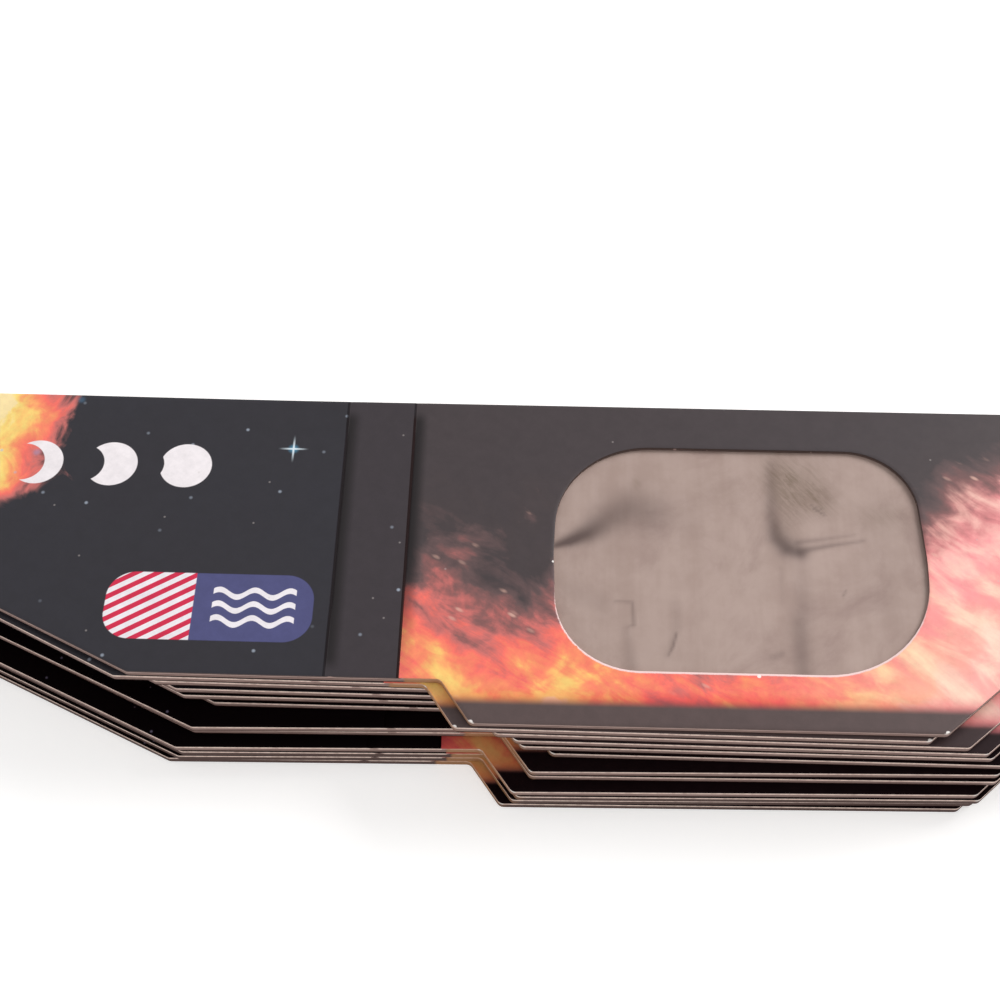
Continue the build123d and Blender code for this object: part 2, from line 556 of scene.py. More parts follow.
printLook = {
    "sheen": 0.28,
    "frontEdge": 67.42,
    "mottle": (0.55, 7, 0.72),
    "mottleSwing": (0.25, 0.75, 0.91, 1.09),
    "gritScale": 0.19,
    "gritSize": (0.030, 0.010),
    "gritChance": 0.84,
    "gritStrength": 0.30,
    "gritColour": (0.60, 0.54, 0.52),
    # x of each crease, the rows that its painted shade fades between at the chin, and how dark its painted
    # shadow line is
    "creases": ((66.85, -15.0, 2.0, 0.92), (74.10, -14.0, -12.2, 0.0)),
    "wallEdges": ((0.80, 0.72), (0.44, 0.52)),
    "wallEnds": ((14.2, 15.8), (-6.0, -9.0)),
    "wallPaintedShade": (0.5, 0.5, 0.5),
    "creaseShadeEdges": ((0.70, 0.66), (-1.05, 0.20)),
    "creaseShadeBrow": (18.2, 16.4),
    "creaseShadeStrength": 0.93,
    "creaseShadeColour": (0.007, 0.004, 0.005),
    "shadowLineBrow": (17.6, 16.6),
    "shadowLineColour": (0.010, 0.002, 0.002),
    "paintedShadeInk": (0.36, 0.05),
    "paintedShadeBlack": (0.0025, 0.0008, 0.0008),
    "paintedShadeTint": (0.66, 0.50, 0.62),
    "grain": (1.4, 4, 0.7),
    "grainSwing": (0.9, 0.45),
    "wornEdge": (0.42, 0.72),
    "wornColour": (0.90, 0.66, 0.64),
    # x, y and reach of each chip in the ink
    "chips": [(60.15, -18.93, 0.28), (14.35, -18.93, 0.26), (32.1, -13.30, 0.24), (52.38, -0.7, 0.15)],
    "chipColour": (0.93, 0.88, 0.84),
    "scuff": (0.5, 6, 0.7),
    "scuffSwing": (0.3, 0.75, 0.42, 0.47),
    "fibre": (3.2, 3, 0.6),
}


def paintedCreaseShades(tree, colour, side, y):
    # painted shade beside each crease where the blade pressed, painted shade on its wall and a painted
    # shadow line along it; the walls are also dull, so they don't catch the lamp
    look = printLook
    dull = 0.0
    for crease, fadeStart, fadeEnd, shadowLineStrength in look["creases"]:
        past = minus(tree, side, crease)
        wall = between(tree, past, look["wallEdges"])
        ends = largest(tree, *[ramp(tree, y, *end) for end in look["wallEnds"]])
        colour = mix(tree, times(tree, wall, ends), colour, look["wallPaintedShade"], "MULTIPLY")
        length = times(tree, ramp(tree, y, *look["creaseShadeBrow"]), ramp(tree, y, fadeStart, fadeEnd))
        paintedCreaseShadeMask = times(tree, between(tree, past, look["creaseShadeEdges"]), length, look["creaseShadeStrength"])
        colour = mix(tree, paintedCreaseShadeMask, colour, look["creaseShadeColour"])
        paintedShadowLine = times(tree, wall, ramp(tree, y, *look["shadowLineBrow"]), shadowLineStrength)
        colour = mix(tree, paintedShadowLine, colour, look["shadowLineColour"])
        dull = largest(tree, dull, wall)
    return colour, dull


def wornInk(tree, colour, spot, side, y, chips):
    # ink worn off along the cut, broken up by the grain of the board; the bright line along the windows'
    # lower rims is partly a painted highlight
    look = printLook
    grain = calc(tree, "MULTIPLY_ADD", noiseAt(tree, spot, *look["grain"]), *look["grainSwing"])
    worn = ramp(tree, times(tree, attributeValue(tree, "wearAndHighlight"), grain), *look["wornEdge"])
    colour = mix(tree, worn, colour, look["wornColour"])
    for chipX, chipY, reach in chips:
        away = apart(tree, minus(tree, side, chipX), minus(tree, y, chipY))
        colour = mix(tree, ramp(tree, away, reach, reach * 0.6), colour, look["chipColour"])
    return colour


def printInPaintedShade(paintedShade):
    look = printLook
    made, tree, shader = newMaterial(f"printInPaintedShade{round(paintedShade * 100):03d}")
    # deeper pairs also get less sheen, as part of their painted shade
    shader.inputs["Specular IOR Level"].default_value = look["sheen"] * (1 - 0.95 * paintedShade)
    spot = sheetMillimetres(tree)
    y, side = sheetAxes(tree, spot)[1:]
    turned = mapped(tree, spot, place=(13.7, 5.3, 0), turn=cloudLook["turn"])
    layers = cloudLayers(tree, spot, turned)
    warm = warmClouds(tree, spot, layers)
    night = nightSky(tree, spot, turned, layers)
    night = eclipseRow(tree, night, side, y)
    night = roundedBadge(tree, night, side, y)
    colour = mix(tree, calc(tree, "LESS_THAN", side, look["frontEdge"]), night, warm)

    mottle = ramp(tree, noiseAt(tree, turned, *look["mottle"]), *look["mottleSwing"])
    colour = mix(tree, 1.0, colour, mottle, "MULTIPLY")
    away, luck = scattered(tree, turned, look["gritScale"])
    grit = times(tree, ramp(tree, away, *look["gritSize"]),
                 calc(tree, "GREATER_THAN", luck[2], look["gritChance"]), look["gritStrength"])
    colour = mix(tree, grit, colour, look["gritColour"])
    colour, dull = paintedCreaseShades(tree, colour, side, y)

    # painted shade of the pairs above: on deeper pairs the dark ink is painted black and the rest of the
    # print is tinted darker
    if paintedShade > 0:
        paintedBlack = ramp(tree, channelsOf(tree, colour)[0], *look["paintedShadeInk"], 0.0, 0.95 * paintedShade)
        colour = mix(tree, paintedBlack, colour, look["paintedShadeBlack"])
        colour = mix(tree, paintedShade, colour, look["paintedShadeTint"], "MULTIPLY")
    colour = wornInk(tree, colour, spot, side, y, look["chips"] if paintedShade < 0.3 else [])
    tree.links.new(colour, shader.inputs["Base Color"])

    scuff = ramp(tree, noiseAt(tree, spot, *look["scuff"]), *look["scuffSwing"])
    tree.links.new(largest(tree, scuff, dull), shader.inputs["Roughness"])
    addBump(tree, shader, noiseAt(tree, spot, *look["fibre"]), 0.10, 0.00003)
    return made


# the cut edge of a pair; its height is 0 at the bottom of the liner and 1 at the top of the printed card

edgeLook = {
    "layers": (260, 260, 5200),
    "nicks": (1500, 1500, 500),
    "body": (0.55, 0.372, 0.328),
    "bodyDark": (0.37, 0.246, 0.214),
    # the dark of the glue line, and of the painted shade at the bottom of each edge and on the lowest pairs
    "dark": (0.042, 0.012, 0.007),
    "bottom": (0.23, 0.09),
    "glue": ((0.22, 0.27), (0.42, 0.36)),
    "glueStrength": 0.68,
    "deepShadePairs": (1.0, 1.5),
    "deepShadeHeight": (0.70, 0.58),
    "deepShadeStrength": 0.94,
    # colour of the painted highlight along the top of each edge, and the ramps that place it
    "light": (0.96, 0.75, 0.65),
    "lightWear": (0.12, 0.24),
    "lightHeight": (0.52, 0.70),
    "lightPairs": (0.0, 0.08, 0.35, 1.0),
    "lightNicks": (0.30, 0.62, 0.40, 1.0),
    "warm": (0.50, 0.235, 0.09),
    "warmEdges": ((59.0, 62.0), (67.0, 66.6)),
    "warmStrength": 0.7,
    "ink": (0.030, 0.012, 0.013),
    "inkPairs": (0.08, 0.0),
    "inkHeight": (0.62, 0.76),
    "inkWear": 0.43,
    "inkStrength": 0.85,
    "corners": [(60.2, -19.0), (63.3, -14.4), (14.3, -19.0)],
    "cornerReach": (0.48, 0.25),
    "cornerHeight": (0.45, 0.7),
    "cornerFlakes": (0.44, 0.56),
    "cornerColour": (0.90, 0.82, 0.76),
    "windowMiddle": 33.3,
    "windowReach": 19.4,
    "windowTop": 14.3,
    "gloomRows": (-8, 8, 0.0, 0.85),
    "gloomNicks": (0.60, 0.70, 1.0, 0.0),
    "gloom": (0.030, 0.016, 0.013),
}


def cutEdge():
    look = edgeLook
    made, tree, shader = newMaterial("cutEdge", Roughness=0.72)
    coords = objectPlace(tree)
    layers = noiseAt(tree, mapped(tree, coords, scale=look["layers"]), 1.0, 5, 0.6)
    nicks = noiseAt(tree, mapped(tree, coords, scale=look["nicks"]), 1.0, 4, 0.65)
    height, edgePaintedShade, wearAndHighlight = (attributeValue(tree, name) for name in ("rim", "edgePaintedShade", "wearAndHighlight"))
    y, side = sheetAxes(tree, sheetMillimetres(tree))[1:]

    # two layers of board with a dark line of glue. Painted shade darkens the bottom of each edge, in the gap
    # under it, and all of the lowest pairs' edges but a line along their top
    colour = mix(tree, ramp(tree, layers, 0.25, 0.75), look["bodyDark"], look["body"])
    glue = times(tree, between(tree, height, look["glue"]), look["glueStrength"])
    deepPaintedShade = times(tree, ramp(tree, edgePaintedShade, *look["deepShadePairs"]), ramp(tree, height, *look["deepShadeHeight"]),
                   look["deepShadeStrength"])
    under = largest(tree, ramp(tree, height, *look["bottom"]), glue, deepPaintedShade)
    colour = mix(tree, under, colour, look["dark"])
    # a painted highlight along the top of each edge, fainter on the top pair and broken by nicks
    paintedHighlight = times(tree, ramp(tree, wearAndHighlight, *look["lightWear"]), ramp(tree, height, *look["lightHeight"]),
                ramp(tree, edgePaintedShade, *look["lightPairs"]), ramp(tree, nicks, *look["lightNicks"]))
    colour = mix(tree, paintedHighlight, colour, look["light"])

    # the clouds print over the edge beside the inner crease, and dark ink lines the rest of the top pair
    band = between(tree, side, look["warmEdges"])
    colour = mix(tree, times(tree, band, look["warmStrength"]), colour, look["warm"])
    inked = times(tree, ramp(tree, edgePaintedShade, *look["inkPairs"]), ramp(tree, height, *look["inkHeight"]),
                  minus(tree, 1.0, band), calc(tree, "LESS_THAN", wearAndHighlight, look["inkWear"]),
                  look["inkStrength"])
    colour = mix(tree, inked, colour, look["ink"])

    # corners knocked bare
    flakes = ramp(tree, noiseAt(tree, coords, 900, 1, 0.5), *look["cornerFlakes"])
    for cornerX, cornerY in look["corners"]:
        away = apart(tree, minus(tree, side, cornerX), minus(tree, y, cornerY))
        bare = times(tree, ramp(tree, away, *look["cornerReach"]), flakes,
                     ramp(tree, height, *look["cornerHeight"]))
        colour = mix(tree, bare, colour, look["cornerColour"])

    # the walls of the windows lie in shade on the brow side
    across = unsigned(tree, minus(tree, side, look["windowMiddle"]))
    walled = times(tree, calc(tree, "LESS_THAN", across, look["windowReach"]),
                   calc(tree, "LESS_THAN", y, look["windowTop"]))
    gloom = times(tree, walled, ramp(tree, y, *look["gloomRows"]), ramp(tree, nicks, *look["gloomNicks"]))
    colour = mix(tree, gloom, colour, look["gloom"])
    tree.links.new(colour, shader.inputs["Base Color"])
    addBump(tree, shader, plus(tree, layers, nicks), 0.5, 0.00004)
    return made


boardLook = {
    "pulp": (420, 900, 900),
    "dark": (0.66, 0.60, 0.53),
    "pale": (0.76, 0.71, 0.65),
    "cloud": (0.60, 0.53, 0.46),
    "speck": (0.36, 0.28, 0.22),
}


def bareBoard():
    look = boardLook
    made, tree, shader = newMaterial("bareBoard", Roughness=0.78)
    coords = objectPlace(tree)
    pulp = noiseAt(tree, mapped(tree, coords, scale=look["pulp"]), 1.0, 6, 0.65)
    colour = mix(tree, ramp(tree, pulp, 0.3, 0.7), look["dark"], look["pale"])
    cloud = ramp(tree, noiseAt(tree, coords, 60, 4, 0.6), 0.35, 0.75, 0.0, 0.35)
    colour = mix(tree, cloud, colour, look["cloud"])
    speck = ramp(tree, noiseAt(tree, coords, 1500, 2, 0.5), 0.72, 0.78)
    colour = mix(tree, speck, colour, look["speck"])
    tree.links.new(colour, shader.inputs["Base Color"])
    addBump(tree, shader, pulp, 0.35, 0.00005)
    return made


filmTones = {
    "body": (0.345, 0.248, 0.213),
    "streak": (0.400, 0.296, 0.258),
    "smudge": (0.295, 0.203, 0.178),
    "grease": (0.165, 0.112, 0.078),
    "paintedShade": (0.060, 0.032, 0.028),
    "broad": (260, 34, 34),
    "fine": (1800, 110, 110),
    "shares": (0.5, 0.12, 0.38),
    "streaks": (0.36, 0.62),
    "smudgeStreak": (35, 0.008, 0.013),
    "smudges": (0.46, 0.74, 0.0, 0.9),
    "scratchStreak": (52, 0.0035, 0.0005),
    "scratches": (0.40, 0.60, 0.62, 1.0),
    "blots": (0.30, 0.62, 0.68, 1.0),
    "greaseStrength": 0.92,
    "roughness": (0.3, 0.8, 0.56, 0.68),
}


def silverFilm():
    tones = filmTones
    made, tree, shader = newMaterial("silverFilm", Metallic=0.15)
    coords = objectPlace(tree)
    broad = noiseAt(tree, mapped(tree, coords, scale=tones["broad"]), 1.0, 4, 0.5)
    fine = noiseAt(tree, mapped(tree, coords, scale=tones["fine"]), 1.0, 3, 0.5)
    smudge = noiseAt(tree, streaked(tree, coords, *tones["smudgeStreak"]), 1.0, 8, 0.68, 0.6)
    crinkle = noiseAt(tree, coords, 420, 5, 0.55)
    shares = zip((broad, fine, crinkle), tones["shares"])
    streak = plus(tree, *[times(tree, layer, share) for layer, share in shares])
    colour = mix(tree, ramp(tree, streak, *tones["streaks"]), tones["body"], tones["streak"])
    colour = mix(tree, ramp(tree, smudge, *tones["smudges"]), colour, tones["smudge"])

    # fingers left a greasy patch with fine scratches in it
    scratch = noiseAt(tree, streaked(tree, coords, *tones["scratchStreak"]), 1.0, 5, 0.65, 1.2)
    blot = noiseAt(tree, coords, 300, 6, 0.7, 0.5)
    grease = times(tree, attributeValue(tree, "smear"), ramp(tree, blot, *tones["blots"]),
                   ramp(tree, scratch, *tones["scratches"]), tones["greaseStrength"])
    colour = mix(tree, grease, colour, tones["grease"])
    # painted shade of the dents
    colour = mix(tree, attributeValue(tree, "paintedShade"), colour, tones["paintedShade"])
    tree.links.new(colour, shader.inputs["Base Color"])
    tree.links.new(ramp(tree, smudge, *tones["roughness"]), shader.inputs["Roughness"])
    addBump(tree, shader, crinkle, 0.10, 0.00006)
    return made


topLevel = 11  # the pairs count from 0 at the bottom of the pile
# painted shade from the pairs above, for each pair's print and edges; deeper ones count 1
pilePaintedShade = {topLevel: 0.0, 10: 0.12, 9: 0.45, 8: 0.75}  # how dark a pair's print lies; deeper ones count 1
printCopiesInPaintedShade = {paintedShade: printInPaintedShade(paintedShade) for paintedShade in (*pilePaintedShade.values(), 1.0)}
edgeMaterial = cutEdge()
boardMaterial = bareBoard()
filmMaterial = silverFilm()
print("materials made")


# the card, worked up once from merged copies of the top pair's panels

cardLook = {
    "rimInset": 0.42 * mm,
    "rimBevel": 0.06 * mm,
    "linerBevel": 0.03 * mm,
    "faceDepth": 0.15 * mm,
    "scoreHalf": 0.65,
    "scoreDepth": 0.20,
    "pressDepth": 0.27,
    "pressWall": (0.50, 0.65),
    "pressReach": -0.90,
    "pressCurve": 1.6,
    "browFade": (15.0, 18.4),
    "browLoss": 0.92,
    "chinFade": (-14.3, -12.7),
    "chinShare": 0.1,
    "bandHalf": 1.0 * mm,
    "cell": 5.0 * mm,
    "reach": 205 * mm,
    "creaseClear": 2.2 * mm,
    "creaseCell": 0.125 * mm,
    "rows": (-17.6, -16.1, -13.9, -10.5, -6.0, -1.0, 4.0, 9.0, 13.4, 15.5, 17.0, 18.2),
    "cardHeights": (0.30, 1.0),
    "linerHeights": (0.0, 0.34),
    "rimWearAndHighlight": 0.42,
    "windowWearAndHighlight": (0.22, 1.15),
}


def mergedPanels(kind, title):
    copies = []
    for name in nodes:
        if name.startswith("top_") and name.endswith(kind):
            copy = bpy.data.objects.new(title, nodes[name].data.copy())
            bpy.context.scene.collection.objects.link(copy)
            copies.append(copy)
    deselectAll()
    for copy in copies:
        copy.select_set(True)
    bpy.context.view_layer.objects.active = copies[0]
    bpy.ops.object.join()
    whole = bpy.context.active_object
    whole.name = title
    whole.data.materials.clear()
    enterEdit()
    mergeDoubles()
    leaveEdit()
    selectFaces(whole, lambda face: abs(face.normal.x) > 0.9
                and min(abs(face.center.x - c) for c in creases) < 1e-5)
    bpy.ops.mesh.delete(type="ONLY_FACE")
    mergeDoubles()
    bpy.ops.mesh.select_all(action="SELECT")
    bpy.ops.mesh.dissolve_limited(angle_limit=math.radians(0.6))
    leaveEdit()
    return whole


def bevelRim(piece, width):
    selectEdges(piece, lambda sides: len(sides) == 2 and max(n.z for n in sides) > 0.5
                and min(abs(n.z) for n in sides) < 0.2)
    bpy.ops.mesh.bevel(offset=width, segments=2, affect="EDGES")
    leaveEdit()


def pressCreases(card):
    # the blade pressed harder on the side of the arm, and the creases run out just short of the brow edge
    look = cardLook
    wallFoot, wallTop = look["pressWall"]
    browStart, browEnd = look["browFade"]
    chinStart, chinEnd = look["chinFade"]
    for vertex in card.data.vertices:
        if vertex.co.z < cardFloor + look["faceDepth"]:
            continue
        crease = min(creases, key=lambda c: abs(vertex.co.x - c))
        past = (vertex.co.x - crease) * 1000 * (-1 if crease < topOrigin.x else 1)
        vertex.co.z += look["scoreDepth"] * mm * max(0.0, 1 - abs(past) / look["scoreHalf"])
        if past > wallFoot:
            share = max(0.0, (wallTop - past) / (wallTop - wallFoot))
        else:
            share = max(0.0, (past - look["pressReach"]) / (wallFoot - look["pressReach"]))
            share = share ** look["pressCurve"]
        along = (vertex.co.y - topOrigin.y) * 1000
        fade = 1 - look["browLoss"] * clamped((along - browStart) / (browEnd - browStart))
        chin = clamped((along - chinStart) / (chinEnd - chinStart))
        fade *= look["chinShare"] + (1 - look["chinShare"]) * chin
        vertex.co.z -= look["pressDepth"] * mm * share * fade


def gridLines():
    look = cardLook
    columns = []
    x = topOrigin.x - look["reach"]
    while x < topOrigin.x + look["reach"]:
        if min(abs(x - c) for c in creases) > look["creaseClear"]:
            columns.append(x)
        x += look["cell"]
    steps = round(look["bandHalf"] / look["creaseCell"])
    for crease in creases:
        columns += [crease + k * look["creaseCell"] for k in range(-steps, steps + 1) if k]
    return columns, [topOrigin.y + row * mm for row in look["rows"]]


def gridCuts(piece, columns, rows):
    makeActive(piece)
    enterEdit()
    for x in columns:
        sliceAt((x, 0, 0), (1, 0, 0))
    for y in rows:
        sliceAt((0, y, 0), (0, 1, 0))
    leaveEdit()


def rimWearAndHighlight(spot):
    # bare board shows along the cut rims; along a window it is strongest at the lower rim, partly as a
    # painted highlight, and least at the upper rim, partly as painted shade
    least, gain = cardLook["windowWearAndHighlight"]
    for middle in windowMiddles:
        away = spot - middle
        if abs(away.x) < windowHalf.x + 0.5 * mm and abs(away.y) < windowHalf.y + 0.5 * mm:
            return least + gain * clamped(-away.y / windowHalf.y - 0.1)
    return cardLook["rimWearAndHighlight"]


def markSheet(piece, lowRim, highRim):
    mesh = piece.data
    sheet = mesh.uv_layers.new(name="sheet")
    for loop, spot in zip(mesh.loops, sheet.data):
        local = mesh.vertices[loop.vertex_index].co - topOrigin
        spot.uv = (0.5 + local.x * 1000 / sheetSpan, 0.5 + local.y * 1000 / sheetSpan)
    low = min(v.co.z for v in mesh.vertices)
    high = max(v.co.z for v in mesh.vertices)
    onCut = set()
    for face in mesh.polygons:
        if abs(face.normal.z) < 0.94:
            onCut.update(face.vertices)
    rim = mesh.attributes.new("rim", "FLOAT", "POINT")
    wearAndHighlight = mesh.attributes.new("wearAndHighlight", "FLOAT", "POINT")
    for vertex in mesh.vertices:
        share = (vertex.co.z - low) / (high - low)
        rim.data[vertex.index].value = lowRim + (highRim - lowRim) * share
        if vertex.index in onCut and share > 0.7:
            wearAndHighlight.data[vertex.index].value = rimWearAndHighlight(vertex.co.xy)
    for material in (printCopiesInPaintedShade[0.0], edgeMaterial, boardMaterial):
        mesh.materials.append(material)


def paintFaces(piece, printed):
    for face in piece.data.polygons:
        if face.normal.z > 0.5:
            face.material_index = 0 if printed else 2
        else:
            face.material_index = 2 if face.normal.z < -0.5 else 1


columns, rows = gridLines()
cardMaster = mergedPanels("_card", "cardMaster")
selectFaces(cardMaster, lambda face: face.normal.z > 0.5)
bpy.ops.mesh.inset(thickness=cardLook["rimInset"], depth=0)
leaveEdit()
bevelRim(cardMaster, cardLook["rimBevel"])
gridCuts(cardMaster, columns, rows)
markSheet(cardMaster, *cardLook["cardHeights"])
paintFaces(cardMaster, True)
pressCreases(cardMaster)
linerMaster = mergedPanels("_liner", "linerMaster")
bevelRim(linerMaster, cardLook["linerBevel"])
gridCuts(linerMaster, columns, rows)
markSheet(linerMaster, *cardLook["linerHeights"])
paintFaces(linerMaster, False)
print("card worked up:", len(cardMaster.data.polygons), "faces, liner:", len(linerMaster.data.polygons))


# how each sheet lies: a slow curl that all share, and a little of its own

curlLook = {
    "shared": 0.10 * mm,
    "start": 74 * mm,
    "span": 118 * mm,
    "own": 0.055 * mm,
    "topRise": 0.30 * mm,
    "riseStart": 75 * mm,
    "riseSpan": 42 * mm,
    # the lowest pairs' edges take a deeper painted shade
    "deepShadePairs": 3,
    "deepShadeValue": 1.5,
}


def curlSheet(piece, place, level):
    look = curlLook
    # the pair's print and edges take its painted shade
    paintedShade = pilePaintedShade.get(level, 1.0)
    piece.data.materials[0] = printCopiesInPaintedShade[paintedShade]
    edgePaintedShadeLevel = look["deepShadeValue"] if level < look["deepShadePairs"] else paintedShade
    edgePaintedShade = piece.data.attributes.new("edgePaintedShade", "FLOAT", "POINT")
    edgePaintedShade.data.foreach_set("value", [edgePaintedShadeLevel] * len(piece.data.vertices))
    inverse = place.inverted()
    for vertex in piece.data.vertices:
        local = inverse @ vertex.co
        beyond = max(0.0, abs(local.x) - look["start"]) / look["span"]
        lift = look["shared"] * beyond * beyond
        if level == topLevel:
            share = clamped((abs(local.x) - look["riseStart"]) / look["riseSpan"])
            lift += look["topRise"] * share * share * (3 - 2 * share)
        else:
            lift += look["own"] * noise.noise(Vector((local.x * 14, local.y * 9, level * 3.7)))
        vertex.co.z += max(0.0, lift) if level == 0 else lift
    smoothUpTo(piece, 30)


masters = ((cardMaster, "card", "printed_card"), (linerMaster, "liner", "liner_card"))
lowerPairs = [f"pair_{level + 1:02d}" for level in range(topLevel)]
for level, pair in enumerate(lowerPairs):
    place = pairPlace(pair)
    for master, kind, slotName in masters:
        piece = duplicateOf(master, f"{pair}_{kind}_sheet")
        piece.matrix_world = place @ topPlace.inverted()
        makeActive(piece)
        bpy.ops.object.transform_apply(location=True, rotation=True, scale=True)
        curlSheet(piece, place, level)
        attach(piece, pair)
        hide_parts(f"{pair}_{kind}")
print("lower pairs laid")


def cutOut(master, name, low, high):
    piece = duplicateOf(master, name)
    enterEdit()
    if low is not None:
        sliceAt((low, 0, 0), (1, 0, 0), use_fill=True, clear_inner=True)
    if high is not None:
        sliceAt((high, 0, 0), (1, 0, 0), use_fill=True, clear_outer=True)
    leaveEdit()
    for face in piece.data.polygons:
        if abs(face.normal.x) > 0.99 and len(face.vertices) > 5:
            face.material_index = 1
    smoothUpTo(piece, 30)
    return piece


def topPieces():
    half = cardLook["bandHalf"]
    farLeft, nearLeft, nearRight, farRight = creases
    spans = {
        "left_arm": (None, farLeft - half),
        "left_strip": (farLeft + half, nearLeft - half),
        "front": (nearLeft + half, nearRight - half),
        "right_strip": (nearRight + half, farRight - half),
        "right_arm": (farRight + half, None),
    }
    bands = {
        "left_outer": (farLeft, "top_left_strip", "top_left_arm", 1),
        "left_inner": (nearLeft, "top_front", "top_left_strip", 1),
        "right_inner": (nearRight, "top_front", "top_right_strip", -1),
        "right_outer": (farRight, "top_right_strip", "top_right_arm", -1),
    }
    for master, kind, slotName in masters:
        for part, (low, high) in spans.items():
            piece = cutOut(master, f"top_{part}_{kind}_sheet", low, high)
            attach(piece, "top_" + part)
            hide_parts(f"top_{part}_{kind}")
        for part, (crease, near, far, side) in bands.items():
            piece = cutOut(master, f"top_{part}_{kind}_crease", crease - half, crease + half)
            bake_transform(piece)


for master, kind, slotName in masters:
    curlSheet(master, topPlace, topLevel)
topPieces()
for master, kind, slotName in masters:
    bpy.data.objects.remove(master)
print("top pair cut into its panels and creases")


# the films of the top pair, dented where fingers have pressed them, with painted shade in and beside the
# dents

filmLook = {
    "across": 176,
    "down": 130,
    # x, y, half width, depth and painted shade along each dent, in millimetres from the window's middle
    "dents": [
        [(-18.9, 1.2, 0.46, 0.12, 0.82), (-17.4, 1.8, 0.80, 0.16, 0.98), (-15.6, 2.8, 1.20, 0.20, 0.88),
         (-13.6, 4.6, 1.8, 0.22, 0.56), (-11.4, 5.8, 2.2, 0.16, 0.50), (-8.6, 5.2, 2.4, 0.08, 0.34),
         (-6.2, 4.6, 2.2, 0.04, 0.10)],
        [(3.8, 11.8, 0.8, 0.02, 0.16), (3.6, 8.6, 0.7, 0.04, 0.28), (3.5, 5.2, 0.75, 0.06, 0.44),
         (3.9, 2.6, 1.00, 0.08, 0.74), (4.9, 1.4, 1.15, 0.09, 0.84), (6.2, 0.8, 0.85, 0.06, 0.72)],
        [(6.2, 1.1, 0.46, 0.06, 0.52), (9.2, 1.8, 0.28, 0.05, 0.44), (12.9, 2.5, 0.2, 0.03, 0.24)],
        [(6.0, 2.1, 0.36, 0.05, 0.40), (9.4, 2.7, 0.24, 0.03, 0.26), (12.0, 3.2, 0.2, 0.02, 0.14)],
        [(8.0, 6.3, 0.16, 0.03, 0.44), (9.1, 5.6, 0.16, 0.03, 0.40)],
        [(7.8, 6.8, 0.12, 0.02, 0.30), (8.9, 6.2, 0.12, 0.02, 0.26)],
        [(-12.7, -5.3, 0.16, -0.03, 0.24), (-11.0, -5.4, 0.18, -0.03, 0.34),
         (-10.9, -8.0, 0.20, -0.04, 0.40), (-11.5, -8.2, 0.14, -0.03, 0.16)],
        [(-11.6, -8.6, 0.55, -0.03, 0.12), (-11.2, -12.6, 0.75, -0.04, 0.22)],
        [(-6.5, -5.4, 0.6, -0.02, 0.08), (-6.5, -8.0, 0.5, -0.03, 0.12), (-7.6, -11.4, 0.4, -0.02, 0.12)],
        [(-6.7, -8.9, 0.15, -0.03, 0.46), (-7.1, -10.4, 0.17, -0.03, 0.50),
         (-7.6, -11.4, 0.12, -0.02, 0.30)],
        [(6.0, -1.2, 1.0, 0.02, 0.10), (6.1, -5.5, 1.05, 0.03, 0.20), (5.6, -7.6, 0.95, 0.03, 0.34),
         (5.5, -13.2, 0.85, 0.03, 0.36)],
        [(4.1, -1.0, 0.3, 0.01, 0.10), (4.0, -5.0, 0.3, 0.01, 0.06)],
        [(10.3, -4.1, 0.14, 0.01, 0.34), (10.5, -3.5, 0.14, 0.01, 0.30)],
        [(2.7, -11.3, 0.42, 0.01, 0.22), (3.6, -10.9, 0.36, 0.01, 0.24)],
        [(-17.6, -4.0, 1.4, 0.03, 0.10), (-14.4, -5.6, 1.2, 0.03, 0.12)],
        [(15.4, 6.0, 4.2, 0.0, 0.08), (15.0, -5.0, 4.6, 0.0, 0.09)],
    ],
    # x, y, reach each way and strength of each greasy patch
    "smears": [(6.4, 9.0, 2.9, 3.2, 1.0), (4.2, 10.8, 1.6, 1.8, 0.5), (8.6, 7.2, 2.2, 1.6, 0.5),
               (15.0, 5.4, 2.6, 1.6, 0.38), (4.8, 4.4, 1.5, 2.4, 0.45), (-10.4, 9.0, 0.55, 0.7, 0.5),
               (-2.0, 8.0, 3.4, 2.4, 0.14)],
    # beyond this half width and half height the film is held flat between the cards
    "free": (19.9, 14.2),
    "freeEdge": 1.2,
    "darkest": 0.9,
    "thickness": 0.06 * mm,
    "sink": 0.01 * mm,
}


def acrossNose(x, y, *rest):
    # the right film has the left one's dents and smears, mirrored and drawn a little together
    return (-x * 0.8 + 2.0, y * 0.85 - 1.4, *rest)


def dentAt(spot, dents):
    depth, paintedShade = 0.0, 0.0
    for path in dents:
        strength, deepest, darkest = 0.0, 0.0, 0.0
        for first, second in zip(path, path[1:]):
            a, b = Vector(first[:2]), Vector(second[:2])
            share = clamped((spot - a).dot(b - a) / (b - a).length_squared)
            width, deep, dark = (first[k] + (second[k] - first[k]) * share for k in (2, 3, 4))
            here = math.exp(-((spot - a.lerp(b, share)).length / width) ** 2)
            if here > strength:
                strength, deepest, darkest = here, deep, dark
        depth += strength * deepest
        paintedShade = 1 - (1 - paintedShade) * (1 - strength * darkest)
    return -depth, paintedShade


def smearAt(spot, smears):
    total = 0.0
    for x, y, reachX, reachY, amount in smears:
        total += amount * math.exp(-((spot.x - x) / reachX) ** 2 - ((spot.y - y) / reachY) ** 2)
    return min(1.0, total)


